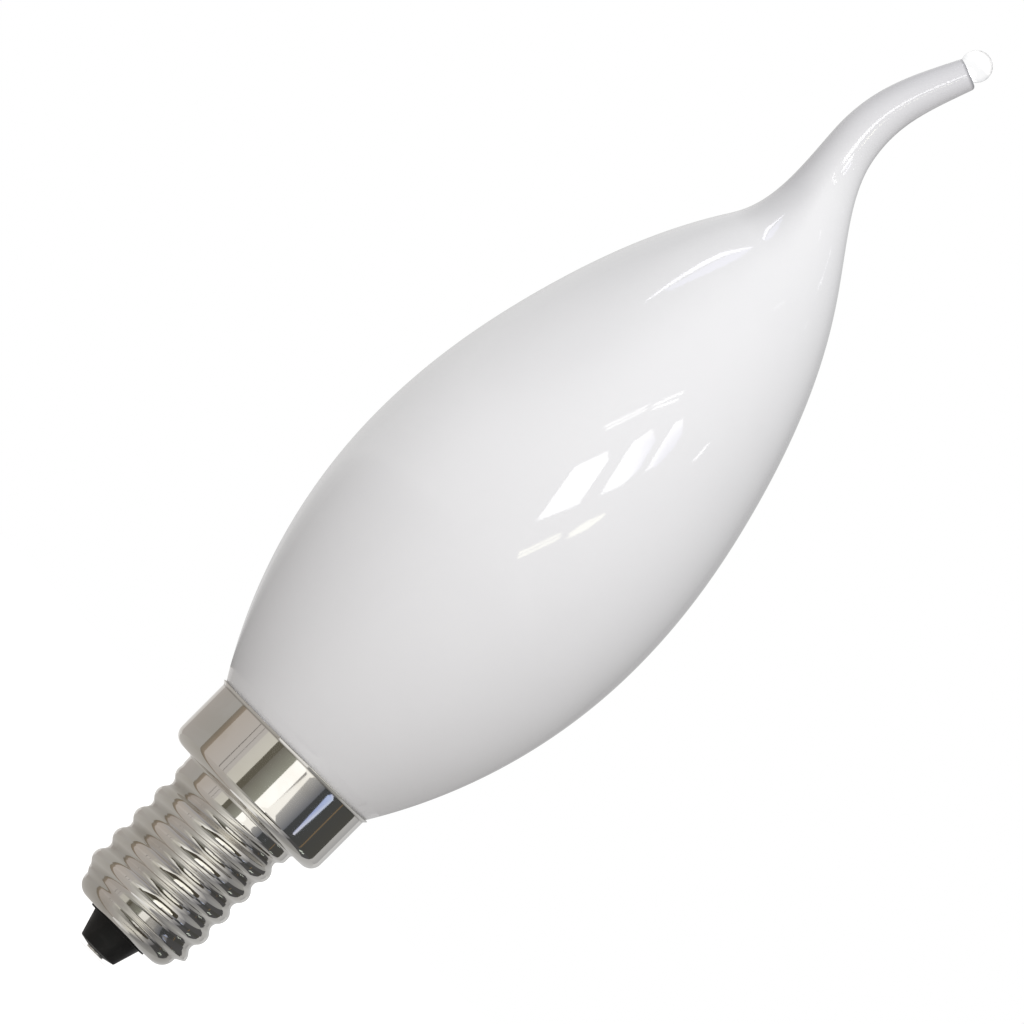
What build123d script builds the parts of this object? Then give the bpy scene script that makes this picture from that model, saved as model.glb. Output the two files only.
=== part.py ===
from build123d import *
import math
import os

# Candle bulb with a drawn, bent tail on a small screw cap. It stands on its own axis: +Z runs
# from the centre contact to the glass tip, the tail sways in the X-Z plane, first towards -X,
# and the origin is the middle of the contact's end face. Sizes are in millimetres and degrees.

# Centre contact: a flat-headed rivet through the insulator
contact_d = 2.0
contact_thickness = 0.45
contact_bevel = 0.08
contact_proud = 0.1
shank_d = 1.0
contact_fit = 0.04

# Insulator: a moulded cone under the cap, keyed to a plug inside it through the base hole
cone_end_d = 4.3
cone_end_sag = 0.33
cone_edge_radius = 0.2
cone_top_d = 5.9
cone_length = 2.67
flange_d = 6.9
flange_thickness = 0.22
plug_length = 1.6
insulator_fit = 0.05

# Screw cap: one drawn sheet with a holed base, a rolled thread, a plain band and a wide skirt
sheet = 0.3
base_hole_d = 4.8
base_d = 11.8
base_corner_radius = 1.5
base_wall = 0.1
thread_major_d = 13.6
thread_minor_d = 12.3
thread_pitch = 2.822
thread_length = 14.2
thread_lead_in = 0.7
thread_run_out = 0.8
thread_start_turn = -75.0
band_length = 0.9
band_fillet = 0.35
skirt_d = 18.8
skirt_height = 7.0
skirt_corner_radius = 1.3
lip_flare = 0.35
lip_height = 0.35

# Glass envelope: blown in one piece and sealed, with its tail drawn out and bent while hot
neck_fit = 0.1
belly_d = 35.0
belly_height = 28.7
shoulder_d = 14.2
shoulder_height = 37.1
shoulder_angle = 32.5
upper_bulge = 2.55
tail_root_d = 6.54
tail_end_d = 3.14
tail_height = 25.78
tail_start_pull = 5.0
tail_sway = 6.14
tail_sway_height = 13.87
tail_end_offset = 0.25
tail_end_lean = 22.9
tail_end_pull = 8.36
tail_edge_radius = 0.35
bead_d = 3.15
bead_rise = 0.95

# Levels along the axis, each worked out from the piece below it
cone_end_z = contact_proud + cone_end_sag
flange_z = cone_end_z + cone_length
base_z = flange_z + flange_thickness
plug_z = base_z + sheet
plug_top = plug_z + plug_length
wall_z = base_z + base_corner_radius
thread_low = wall_z + base_wall
thread_high = thread_low + thread_length
shelf_z = thread_high + band_length
floor_z = shelf_z + sheet
skirt_top = shelf_z + skirt_height
lip_top = skirt_top + lip_height
belly_z = lip_top + belly_height
shoulder_z = belly_z + shoulder_height

# Radii that two pieces share
base_flat = base_d / 2 - base_corner_radius
band_radius = thread_major_d / 2
skirt_bore = skirt_d / 2 - sheet
mouth_bore = skirt_bore + lip_flare
inner_corner_radius = skirt_corner_radius - sheet


def turned(*outline):
    """Solid of revolution about the lamp's axis, from an outline of (radius, height) points."""
    edges = [edge for stretch in outline for edge in stretch.edges()]
    return revolve(Plane.XZ * make_face(edges), Axis.Z)


def eased(share):
    """Smooth step from 0 to 1 while the share goes from 0 to 1."""
    share = min(max(share, 0), 1)
    return share * share * (3 - 2 * share)


def centre_contact():
    rim = contact_d / 2
    shank = shank_d / 2
    return turned(
        Polyline(
            (0, 0),
            (rim - contact_bevel, 0),
            (rim, contact_bevel),
            (rim, contact_thickness),
            (shank, contact_thickness),
            (shank, plug_top),
            (0, plug_top),
            (0, 0),
        )
    )


def insulator():
    seat = contact_d / 2 + contact_fit
    bore = shank_d / 2 + contact_fit
    neck = base_hole_d / 2 - insulator_fit
    plug = base_flat - insulator_fit
    end_middle = (0, contact_proud)
    end_rim = (cone_end_d / 2, cone_end_z)
    moulding = turned(
        TangentArc(end_middle, end_rim, tangent=(1, 0)),
        Polyline(
            end_rim,
            (cone_top_d / 2, flange_z),
            (flange_d / 2, flange_z),
            (flange_d / 2, base_z),
            (neck, base_z),
            (neck, plug_z),
            (plug, plug_z),
            (plug, plug_top),
            (0, plug_top),
            end_middle,
        ),
    )
    rims = moulding.edges().filter_by(lambda edge: edge.is_closed)
    moulding = fillet(rims.sort_by(Axis.Z)[0], cone_edge_radius)
    rivet_hole = turned(
        Polyline(
            (0, 0),
            (seat, 0),
            (seat, contact_thickness),
            (bore, contact_thickness),
            (bore, plug_top),
            (0, plug_top),
            (0, 0),
        )
    )
    return moulding - rivet_hole


def rolled_thread():
    """The thread's wave, rolled into the sheet.

    A wave that climbs one pitch a turn cuts every level plane in a circle that stands off the
    axis by half the thread's depth, and the circle's centre goes round the axis once a pitch.
    The wave swells out of the base wall and dies away below the plain band.
    """
    rings_per_turn = 10
    depth = (thread_major_d - thread_minor_d) / 2
    steps = round(rings_per_turn * thread_length / thread_pitch)
    rings = []
    for step in range(steps + 1):
        climb = thread_length * step / steps
        swell = eased(climb / thread_lead_in)
        fade = eased((thread_length - climb) / thread_run_out)
        offset = depth / 2 * swell * fade
        crest = base_d / 2 + (band_radius - base_d / 2) * swell
        turn = math.radians(thread_start_turn) + 2 * math.pi * climb / thread_pitch
        centre = Pos(offset * math.cos(turn), offset * math.sin(turn), thread_low + climb)
        rings.append(centre * Circle(crest - offset))
    return loft(rings)


def screw_cap():
    wall = base_d / 2
    base = turned(
        Line((0, base_z), (base_flat, base_z)),
        RadiusArc((base_flat, base_z), (wall, wall_z), -base_corner_radius),
        Polyline((wall, wall_z), (wall, thread_low), (0, thread_low), (0, base_z)),
    )
    band_end = (band_radius, shelf_z - band_fillet)
    shelf_start = (band_radius + band_fillet, shelf_z)
    shelf_end = (skirt_d / 2 - skirt_corner_radius, shelf_z)
    skirt_foot = (skirt_d / 2, shelf_z + skirt_corner_radius)
    skirt = turned(
        Polyline((0, thread_high), (band_radius, thread_high), band_end),
        RadiusArc(band_end, shelf_start, band_fillet),
        Line(shelf_start, shelf_end),
        RadiusArc(shelf_end, skirt_foot, -skirt_corner_radius),
        Polyline(
            skirt_foot,
            (skirt_d / 2, skirt_top),
            (skirt_d / 2 + lip_flare, lip_top),
            (0, lip_top),
            (0, thread_high),
        ),
    )
    return base + rolled_thread() + skirt - cap_cavity()


def cap_cavity():
    """Inside of the cap: its outline one sheet further in, with a plain bore behind the thread."""
    inner_wall = base_d / 2 - sheet
    thread_bore = thread_minor_d / 2 - sheet
    band_bore = band_radius - sheet
    floor_end = (skirt_bore - inner_corner_radius, floor_z)
    skirt_foot = (skirt_bore, floor_z + inner_corner_radius)
    return turned(
        Polyline(
            (0, base_z),
            (base_hole_d / 2, base_z),
            (base_hole_d / 2, plug_z),
            (base_flat, plug_z),
        ),
        RadiusArc((base_flat, plug_z), (inner_wall, wall_z), sheet - base_corner_radius),
        Polyline(
            (inner_wall, wall_z),
            (inner_wall, thread_low),
            (thread_bore, thread_low + thread_lead_in),
            (thread_bore, thread_high - thread_run_out),
            (band_bore, thread_high),
            (band_bore, floor_z),
            floor_end,
        ),
        RadiusArc(floor_end, skirt_foot, -inner_corner_radius),
        Polyline(skirt_foot, (skirt_bore, skirt_top), (mouth_bore, lip_top), (0, lip_top), (0, base_z)),
    )


def blown_body():
    """Neck, belly and shoulder of the glass, all round about the axis."""
    neck = skirt_bore - neck_fit
    neck_z = floor_z + neck_fit
    edge = inner_corner_radius - neck_fit
    neck_end = (neck - edge, neck_z)
    neck_side = (neck, neck_z + edge)
    mouth = (mouth_bore - neck_fit, lip_top)
    belly = (belly_d / 2, belly_z)
    shoulder = (shoulder_d / 2, shoulder_z)
    upper_mid = (Vector(belly) + Vector(shoulder)) / 2 + Vector(upper_bulge, 0)
    shoulder_run = Vector(0, 1).rotate(Axis.Z, shoulder_angle)
    return turned(
        Line((0, neck_z), neck_end),
        RadiusArc(neck_end, neck_side, -edge),
        Polyline(neck_side, (neck, skirt_top), mouth),
        TangentArc(belly, mouth, tangent=(0, -1)),
        Spline(belly, upper_mid, shoulder, tangents=[(0, 1), shoulder_run]),
        Polyline(shoulder, (0, shoulder_z), (0, neck_z)),
    )


def drawn_tail():
    """Tail and bead: round sections along a spine that sways to -X and comes back.

    The flare of the shoulder dies away as a parabola that starts at the shoulder's own slope,
    and the sections turn from level to square with the spine as it dies.
    """
    stations = 18
    end = Vector(-tail_end_offset, shoulder_z + tail_height)
    end_run = Vector(0, 1).rotate(Axis.Z, -tail_end_lean)
    spine = Bezier(
        (0, shoulder_z),
        (0, shoulder_z + tail_start_pull),
        (-tail_sway, shoulder_z + tail_sway_height),
        end - end_run * tail_end_pull,
        end,
    )
    taper = (tail_root_d - tail_end_d) / 2 / spine.length
    flare = (shoulder_d - tail_root_d) / 2
    flare_length = 2 * flare / (math.tan(math.radians(shoulder_angle)) - taper)
    sections = []
    for station in range(stations + 1):
        share = station / stations
        along = share * spine.length
        point = spine @ share
        heading = spine % share
        fade = max(1 - along / flare_length, 0)
        radius = tail_root_d / 2 - taper * along + flare * fade**2
        tilt = math.atan2(-heading.X, heading.Y) * (1 - fade)
        plane = Plane(
            origin=(point.X, 0, point.Y),
            x_dir=(math.cos(tilt), 0, math.sin(tilt)),
            z_dir=(-math.sin(tilt), 0, math.cos(tilt)),
        )
        sections.append(plane * Circle(radius))
    tail = loft(sections)
    tail = fillet(tail.edges().sort_by(Axis.Z)[-1], tail_edge_radius)
    bead_centre = plane.origin + Vector(0, 0, bead_rise)
    return tail + Pos(bead_centre) * Sphere(bead_d / 2)


def glass_envelope():
    return blown_body() + drawn_tail()


nodes = {
    "centre_contact": centre_contact(),
    "insulator": insulator(),
    "screw_cap": screw_cap(),
    "glass_envelope": glass_envelope(),
}

os.makedirs("parts", exist_ok=True)
for name, solid in nodes.items():
    export_step(solid, f"parts/{name}.step")
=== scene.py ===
import math

import bpy
from mathutils import Matrix, Vector
from mathutils.geometry import interpolate_bezier


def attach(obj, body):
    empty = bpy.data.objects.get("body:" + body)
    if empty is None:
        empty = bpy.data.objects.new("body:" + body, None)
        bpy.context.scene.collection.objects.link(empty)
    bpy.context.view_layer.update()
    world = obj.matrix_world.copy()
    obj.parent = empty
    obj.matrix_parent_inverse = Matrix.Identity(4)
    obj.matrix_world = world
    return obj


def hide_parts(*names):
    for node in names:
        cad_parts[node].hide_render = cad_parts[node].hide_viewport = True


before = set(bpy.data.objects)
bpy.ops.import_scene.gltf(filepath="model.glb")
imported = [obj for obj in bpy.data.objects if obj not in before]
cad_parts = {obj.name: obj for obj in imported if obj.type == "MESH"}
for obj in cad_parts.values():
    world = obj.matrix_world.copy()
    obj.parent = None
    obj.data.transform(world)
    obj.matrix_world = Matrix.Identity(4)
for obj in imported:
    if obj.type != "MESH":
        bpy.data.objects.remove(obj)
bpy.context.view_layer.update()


# Screw cap. One steel sheet, drawn to a stepped cup with a hole in its base, its thread rolled in
# between two rollers, then nickel plated bright. The wide skirt takes the neck of the glass. The roots
# of the thread are a touch shallower than the solid's, as on the real one.

mm = 0.001
sheet = 0.3 * mm
base_hole = 2.4 * mm
base_radius = 5.9 * mm
base_corner = 1.5 * mm
base_z = 3.32 * mm
thread_low = 4.92 * mm
thread_length = 14.2 * mm
thread_lead_in = 0.7 * mm
thread_run_out = 0.8 * mm
thread_crest = 6.8 * mm
thread_depth = 0.59 * mm
thread_pitch = 2.822 * mm
thread_crest_share = 0.58
thread_start_turn = math.radians(-75)
band_fillet = 0.35 * mm
shelf_z = 20.02 * mm
skirt_radius = 9.4 * mm
skirt_foot = 1.3 * mm
skirt_top = 27.02 * mm
lip_flare = 0.35 * mm
lip_top = 27.37 * mm
soft_bend = 0.1 * mm
cut_edge = 0.06 * mm
fine_step = 0.08 * mm
plain_step = 0.4 * mm
facet_turn = math.radians(6)
fewest_facets = 3
swell_steps = 12
cap_segments = 180
weld_gap = 0.0001 * mm


def straight(start, end, step):
    """Points between two ends, at most a step apart."""
    spans = max(1, math.ceil((end - start).length / step))
    return [start.lerp(end, i / spans) for i in range(1, spans)]


def outline(corners, step):
    """Points (radius, height) through corners (radius, height, rounding), at most a step apart."""
    points = [Vector(corners[0][:2])]
    for before, corner, after in zip(corners, corners[1:], corners[2:]):
        here = Vector(corner[:2])
        rounding = corner[2]
        back = (Vector(before[:2]) - here).normalized()
        ahead = (Vector(after[:2]) - here).normalized()
        half = back.angle(ahead) / 2
        middle = here + (back + ahead).normalized() * rounding / math.sin(half)
        start = here + back * rounding / math.tan(half) - middle
        sweep = (math.pi - 2 * half) * math.copysign(1, back.cross(ahead))
        facets = max(fewest_facets, round(abs(sweep) / facet_turn))
        turned = [Matrix.Rotation(-sweep * i / facets, 2) @ start + middle for i in range(facets + 1)]
        points += straight(points[-1], turned[0], step) + turned
    end = Vector(corners[-1][:2])
    return points + straight(points[-1], end, step) + [end]


thread_start = thread_low + thread_lead_in
thread_high = thread_low + thread_length
base_outside = outline(
    [
        (base_hole, base_z + sheet / 2, 0),
        (base_hole, base_z, cut_edge),
        (base_radius, base_z, base_corner),
        (base_radius, thread_low, 0),
    ],
    plain_step,
)
lead_in = []
for i in range(1, swell_steps):
    share = i / swell_steps
    swell = share**2 * (3 - 2 * share)
    radius = base_radius + (thread_crest - base_radius) * swell
    lead_in.append(Vector((radius, thread_low + thread_lead_in * share)))
thread_outside = outline([(thread_crest, thread_start, 0), (thread_crest, thread_high, 0)], fine_step)
skirt_and_lip = outline(
    [
        (thread_crest, thread_high + fine_step, 0),
        (thread_crest, shelf_z, band_fillet),
        (skirt_radius, shelf_z, skirt_foot),
        (skirt_radius, skirt_top, soft_bend),
        (skirt_radius + lip_flare, lip_top, cut_edge),
        (skirt_radius + lip_flare - sheet, lip_top, cut_edge),
        (skirt_radius - sheet, skirt_top, 0),
    ],
    plain_step,
)
skirt_inside = outline(
    [
        (skirt_radius - sheet, skirt_top - soft_bend, 0),
        (skirt_radius - sheet, shelf_z + sheet, skirt_foot - sheet),
        (thread_crest - sheet, shelf_z + sheet, soft_bend),
        (thread_crest - sheet, thread_start, 0),
    ],
    plain_step,
)
lead_in_inside = [point - Vector((sheet, 0)) for point in reversed(lead_in)]
base_inside = outline(
    [
        (base_radius - sheet, thread_low, 0),
        (base_radius - sheet, base_z + sheet, base_corner - sheet),
        (base_hole, base_z + sheet, cut_edge),
        (base_hole, base_z + sheet / 2 + cut_edge / 2, 0),
    ],
    plain_step,
)
cap_outside = base_outside + lead_in + thread_outside + skirt_and_lip
cap_inside = skirt_inside + lead_in_inside + base_inside


def feed(tree, made, inputs):
    """Sets each input of a node to a value, or links it to an output."""
    for name, value in inputs.items():
        if isinstance(value, bpy.types.NodeSocket):
            tree.links.new(value, made.inputs[name])
        else:
            made.inputs[name].default_value = value


def node(tree, kind, inputs=None, **settings):
    """New node of a tree, with its settings, and with each input set to a value or linked to an output."""
    made = tree.nodes.new(kind)
    for name, value in settings.items():
        setattr(made, name, value)
    feed(tree, made, inputs or {})
    return made


def sums(tree, operation, *values, kind="ShaderNodeMath"):
    """Output of a math node on values or outputs."""
    return node(tree, kind, dict(enumerate(values)), operation=operation).outputs[0]


def new_tree(name, kind, inputs, outputs):
    """Node tree with named inputs and outputs, given as {name: socket type}, and its two end nodes."""
    tree = bpy.data.node_groups.new(name, kind)
    for label, socket_type in inputs.items():
        tree.interface.new_socket(label, in_out="INPUT", socket_type=socket_type)
    for label, socket_type in outputs.items():
        tree.interface.new_socket(label, in_out="OUTPUT", socket_type=socket_type)
    return tree, tree.nodes.new("NodeGroupInput").outputs, tree.nodes.new("NodeGroupOutput").inputs


def flat_grid(tree, segments, rings):
    """Flat sheet of faces, with the share of the way round and the ring's number at each point."""
    columns = sums(tree, "ADD", segments, 1)
    rows = sums(tree, "ADD", rings, 1)
    sizes = {"Size X": 1, "Size Y": 1, "Vertices X": columns, "Vertices Y": rows}
    grid = node(tree, "GeometryNodeMeshGrid", sizes).outputs["Mesh"]
    place = node(tree, "GeometryNodeInputPosition").outputs[0]
    across = node(tree, "ShaderNodeSeparateXYZ", {0: place}).outputs
    share = sums(tree, "ADD", across["X"], 0.5)
    along = sums(tree, "MULTIPLY", sums(tree, "ADD", across["Y"], 0.5), rings)
    ring = node(tree, "FunctionNodeFloatToInt", {0: along}, rounding_mode="ROUND").outputs[0]
    return grid, share, ring


def skinned(tree, mesh, finish):
    """Closes seams and poles of a rolled-up grid and gives it a smooth shade and its finish."""
    closed = node(tree, "GeometryNodeMergeByDistance", {"Geometry": mesh, "Distance": weld_gap}).outputs[0]
    smooth = node(tree, "GeometryNodeSetShadeSmooth", {"Geometry": closed}).outputs[0]
    real = node(tree, "GeometryNodeRealizeInstances", {"Geometry": smooth}).outputs[0]
    return node(tree, "GeometryNodeSetMaterial", {"Geometry": real, "Material": finish}).outputs[0]


def turning_tree():
    """Turns a closed outline in the X-Z plane round the lamp's axis."""
    tree, given, result = new_tree(
        "turn outline",
        "GeometryNodeTree",
        {"Outline": "NodeSocketGeometry", "Segments": "NodeSocketInt", "Finish": "NodeSocketMaterial"},
        {"Turned": "NodeSocketGeometry"},
    )
    points = node(tree, "GeometryNodeAttributeDomainSize", {0: given["Outline"]}).outputs["Point Count"]
    grid, share, ring = flat_grid(tree, given["Segments"], points)
    index = sums(tree, "MODULO", ring, points, kind="FunctionNodeIntegerMath")
    place = node(tree, "GeometryNodeInputPosition").outputs[0]
    drawn = node(
        tree,
        "GeometryNodeSampleIndex",
        {"Geometry": given["Outline"], "Value": place, "Index": index},
        data_type="FLOAT_VECTOR",
    )
    point = node(tree, "ShaderNodeSeparateXYZ", {0: drawn.outputs[0]}).outputs
    turn = sums(tree, "MULTIPLY", share, math.tau)
    x = sums(tree, "MULTIPLY", point["X"], sums(tree, "COSINE", turn))
    y = sums(tree, "MULTIPLY", point["X"], sums(tree, "SINE", turn))
    spun = node(tree, "ShaderNodeCombineXYZ", {"X": x, "Y": y, "Z": point["Z"]}).outputs[0]
    rolled = node(tree, "GeometryNodeSetPosition", {"Geometry": grid, "Position": spun}).outputs[0]
    tree.links.new(skinned(tree, rolled, given["Finish"]), result["Turned"])
    return tree


def threading_tree():
    """Rolls a thread into a turned sheet, by moving each of its points towards the axis.

    Crest and root are arcs that meet on the flank, and the crest takes its share of the pitch. The first
    crest swells out of the root over the lead in, and the last groove dies away over the run out.
    """
    sizes = ["Low", "Length", "Depth", "Pitch", "Crest Share", "Lead In", "Run Out", "Start Turn"]
    tree, given, result = new_tree(
        "roll thread",
        "GeometryNodeTree",
        {"Turned": "NodeSocketGeometry", **dict.fromkeys(sizes, "NodeSocketFloat")},
        {"Threaded": "NodeSocketGeometry"},
    )
    place = node(tree, "GeometryNodeInputPosition").outputs[0]
    x, y, z = node(tree, "ShaderNodeSeparateXYZ", {0: place}).outputs
    climb = sums(tree, "SUBTRACT", z, given["Low"])
    turns = sums(tree, "DIVIDE", climb, given["Pitch"])
    behind = sums(tree, "SUBTRACT", given["Start Turn"], sums(tree, "ARCTAN2", y, x))
    phase = sums(tree, "ADD", turns, sums(tree, "DIVIDE", behind, math.tau))
    off_crest = sums(tree, "SUBTRACT", phase, sums(tree, "ROUND", phase))
    from_crest = sums(tree, "ABSOLUTE", off_crest)
    from_root = sums(tree, "SUBTRACT", 0.5, from_crest)
    half_slope = sums(tree, "DIVIDE", sums(tree, "MULTIPLY", given["Depth"], 2), given["Pitch"])
    widening = sums(tree, "MULTIPLY_ADD", half_slope, half_slope, 1)
    widened = sums(tree, "MULTIPLY", widening, given["Pitch"])
    both_arcs = sums(tree, "DIVIDE", widened, sums(tree, "MULTIPLY", half_slope, 4))

    def sag(turns_off, share):
        arc = sums(tree, "MULTIPLY", both_arcs, share)
        off = sums(tree, "MULTIPLY", turns_off, given["Pitch"])
        leg = sums(tree, "SUBTRACT", sums(tree, "MULTIPLY", arc, arc), sums(tree, "MULTIPLY", off, off))
        return sums(tree, "SUBTRACT", arc, sums(tree, "SQRT", leg))

    crest_drop = sag(from_crest, given["Crest Share"])
    root_share = sums(tree, "SUBTRACT", 1, given["Crest Share"])
    root_drop = sums(tree, "SUBTRACT", given["Depth"], sag(from_root, root_share))
    on_crest = sums(tree, "LESS_THAN", from_crest, sums(tree, "MULTIPLY", given["Crest Share"], 0.5))
    drops = {"Factor": on_crest, "A": root_drop, "B": crest_drop}
    drop = node(tree, "ShaderNodeMix", drops).outputs["Result"]

    def eased(value, reach):
        step = {"Value": value, "From Max": reach}
        return node(tree, "ShaderNodeMapRange", step, interpolation_type="SMOOTHSTEP").outputs[0]

    crest_climb = sums(tree, "MULTIPLY", sums(tree, "SUBTRACT", turns, off_crest), given["Pitch"])
    formed = eased(crest_climb, given["Lead In"])
    missing = sums(tree, "MULTIPLY", sums(tree, "SUBTRACT", 1, formed), given["Depth"])
    depth = sums(tree, "MULTIPLY_ADD", drop, formed, missing)
    rest = sums(tree, "SUBTRACT", given["Length"], climb)
    strength = sums(tree, "MULTIPLY", eased(climb, given["Lead In"]), eased(rest, given["Run Out"]))
    level = sums(tree, "MULTIPLY", place, (1, 1, 0), kind="ShaderNodeVectorMath")
    outward = sums(tree, "NORMALIZE", level, kind="ShaderNodeVectorMath")
    inward = sums(tree, "MULTIPLY", sums(tree, "MULTIPLY", depth, strength), -1)
    moved = node(tree, "ShaderNodeVectorMath", {0: outward, "Scale": inward}, operation="SCALE").outputs[0]
    rolled = node(tree, "GeometryNodeSetPosition", {"Geometry": given["Turned"], "Offset": moved}).outputs[0]
    tree.links.new(rolled, result["Threaded"])
    return tree


turn_outline = turning_tree()
roll_thread = threading_tree()

nickel_bright = (0.72, 0.70, 0.665, 1)
nickel_dull = (0.68, 0.655, 0.61, 1)
# Painted shade and dust, for the corner under the lip and the thread's roots.
nickel_shade_and_dust = (0.22, 0.20, 0.17, 1)
nickel_roughness = (0.03, 0.08)
nickel_smudge = 6 * mm
nickel_scuff = 0.12 * mm
nickel_scuff_depth = 0.0003 * mm
shade_and_dust_patches = (0.6, 1)
shade_and_dust_roughness = 0.2
lip_shade_and_dust = 0.9
lip_shade_and_dust_reach = 0.14 * mm
root_shade_and_dust = 0.35
root_shade_and_dust_reach = 0.3 * mm


def handling_group():
    """Marks of the hand and of the packing: soft smudges, and fine scuffs along the third axis given."""
    tree, given, result = new_tree(
        "handling marks",
        "ShaderNodeTree",
        {"Vector": "NodeSocketVector", "Smudge Size": "NodeSocketFloat", "Scuff Size": "NodeSocketFloat"},
        {"Smudge": "NodeSocketFloat", "Scuff": "NodeSocketFloat"},
    )
    along_scuff = 0.04
    coarse = {"Vector": given["Vector"], "Scale": sums(tree, "DIVIDE", 1, given["Smudge Size"])}
    blotch = node(tree, "ShaderNodeTexNoise", {**coarse, "Detail": 4, "Distortion": 0.8}).outputs[0]
    smudge = {"Value": blotch, "From Min": 0.42, "From Max": 0.68}
    smudge = node(tree, "ShaderNodeMapRange", smudge, interpolation_type="SMOOTHSTEP").outputs[0]
    tree.links.new(smudge, result["Smudge"])
    drawn_out = sums(tree, "MULTIPLY", given["Vector"], (1, 1, along_scuff), kind="ShaderNodeVectorMath")
    fine = {"Vector": drawn_out, "Scale": sums(tree, "DIVIDE", 1, given["Scuff Size"]), "Detail": 3}
    tree.links.new(node(tree, "ShaderNodeTexNoise", fine).outputs[0], result["Scuff"])
    return tree


handling_marks = handling_group()


def marked(tree, smudge_size, scuff_size):
    """Handling marks on a material, as outputs Smudge and Scuff."""
    place = node(tree, "ShaderNodeTexCoord").outputs["Object"]
    sizes = {"Vector": place, "Smudge Size": smudge_size, "Scuff Size": scuff_size}
    return node(tree, "ShaderNodeGroup", sizes, node_tree=handling_marks).outputs


def new_material(name):
    """Material with a Principled shader. Returns it with its tree and its shader."""
    material = bpy.data.materials.new(name)
    material.use_nodes = True
    return material, material.node_tree, material.node_tree.nodes["Principled BSDF"]


def blend(tree, share, low, high):
    """Colour between two, by a share from 0 to 1."""
    mix = node(tree, "ShaderNodeMix", {"Factor": share}, data_type="RGBA")
    sockets = {socket.identifier: index for index, socket in enumerate(mix.inputs)}
    feed(tree, mix, {sockets["A_Color"]: low, sockets["B_Color"]: high})
    return next(socket for socket in mix.outputs if socket.identifier == "Result_Color")


def spread(tree, value, low, high, reach=1):
    """Value that runs from low to high while another runs from 0 to its reach."""
    ends = {"Value": value, "From Max": reach, "To Min": low, "To Max": high}
    return node(tree, "ShaderNodeMapRange", ends).outputs[0]


def bumped(tree, height, depth):
    """Normal of a surface whose height runs from 0 to 1 over a depth in metres."""
    return node(tree, "ShaderNodeBump", {"Height": height, "Distance": depth}).outputs[0]


nickel_plate, tree, shader = new_material("nickel_plate")
marks = marked(tree, nickel_smudge, nickel_scuff)
place = node(tree, "ShaderNodeTexCoord").outputs["Object"]
x, y, z = node(tree, "ShaderNodeSeparateXYZ", {0: place}).outputs
radius = sums(tree, "SQRT", sums(tree, "ADD", sums(tree, "MULTIPLY", x, x), sums(tree, "MULTIPLY", y, y)))
# Painted shade and dust: the nickel turns darker and rougher in the corner under the lip and in the thread's
# roots, in patches.
off_lip = sums(tree, "ABSOLUTE", sums(tree, "SUBTRACT", z, skirt_top))
under_lip = spread(tree, off_lip, lip_shade_and_dust, 0, lip_shade_and_dust_reach)
off_root = sums(tree, "SUBTRACT", radius, thread_crest - thread_depth)
in_root = spread(tree, off_root, root_shade_and_dust, 0, root_shade_and_dust_reach)
patches = spread(tree, marks["Smudge"], *shade_and_dust_patches)
shade_and_dust = sums(tree, "MULTIPLY", sums(tree, "MAXIMUM", under_lip, in_root), patches)
clean = blend(tree, marks["Smudge"], nickel_bright, nickel_dull)
polish = spread(tree, marks["Scuff"], *nickel_roughness)
feed(
    tree,
    shader,
    {
        "Metallic": 1,
        "Base Color": blend(tree, shade_and_dust, clean, nickel_shade_and_dust),
        "Roughness": sums(tree, "MULTIPLY_ADD", shade_and_dust, shade_and_dust_roughness, polish),
        "Normal": bumped(tree, marks["Scuff"], nickel_scuff_depth),
    },
)


def wire(name, points, **values):
    """Mesh of points alone, in the X-Z plane, with a value of each kind at each point."""
    mesh = bpy.data.meshes.new(name)
    mesh.from_pydata([(x, 0, z) for x, z in points], [], [])
    for label, column in values.items():
        mesh.attributes.new(label, "FLOAT", "POINT").data.foreach_set("value", column)
    return mesh


def grown(name, seed, *steps):
    """Plain mesh piece that the trees in steps, each with its inputs, grow from a wire."""
    piece = bpy.data.objects.new(name, seed)
    bpy.context.scene.collection.objects.link(piece)
    for tree, values in steps:
        modifier = piece.modifiers.new(tree.name, "NODES")
        modifier.node_group = tree
        for socket in tree.interface.items_tree:
            if socket.name in values:
                modifier[socket.identifier] = values[socket.name]
    shaped = piece.evaluated_get(bpy.context.evaluated_depsgraph_get())
    mesh = bpy.data.meshes.new_from_object(shaped)
    piece.modifiers.clear()
    piece.data = mesh
    return piece


screw_cap = grown(
    "screw_cap_visual",
    wire("screw_cap_visual", cap_outside + cap_inside),
    (turn_outline, {"Segments": cap_segments, "Finish": nickel_plate}),
    (
        roll_thread,
        {
            "Low": thread_low,
            "Length": thread_length,
            "Depth": thread_depth,
            "Pitch": thread_pitch,
            "Crest Share": thread_crest_share,
            "Lead In": thread_lead_in,
            "Run Out": thread_run_out,
            "Start Turn": thread_start_turn,
        },
    ),
)
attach(screw_cap, "root")
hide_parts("screw_cap")


# Insulator. A black cone moulded under the cap's base, with a thin flange against it, keyed through
# the hole to a plug inside. It keeps the centre contact apart from the cap.

cone_end = 2.15 * mm
cone_end_z = 0.43 * mm
cone_dome_z = 0.21 * mm
cone_edge = 0.2 * mm
cone_top = 2.95 * mm
flange_radius = 3.45 * mm
flange_z = 3.1 * mm
flange_root = 0.08 * mm
insulator_neck = 2.35 * mm
plug_radius = 4.35 * mm
plug_top = 5.22 * mm
rivet_seat = 1.04 * mm
rivet_bore = 0.54 * mm
seat_z = 0.45 * mm
seat_edge = 0.03 * mm
moulded_edge = 0.05 * mm
sharp_edge = 0.02 * mm
small_step = 0.1 * mm
insulator_segments = 96
black_clean = (0.010, 0.010, 0.0095, 1)
black_rubbed = (0.017, 0.0165, 0.016, 1)
black_roughness = (0.42, 0.58)
black_gloss = 0.2
black_smudge = 1.2 * mm
black_scuff = 0.05 * mm
black_scuff_depth = 0.004 * mm

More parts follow.
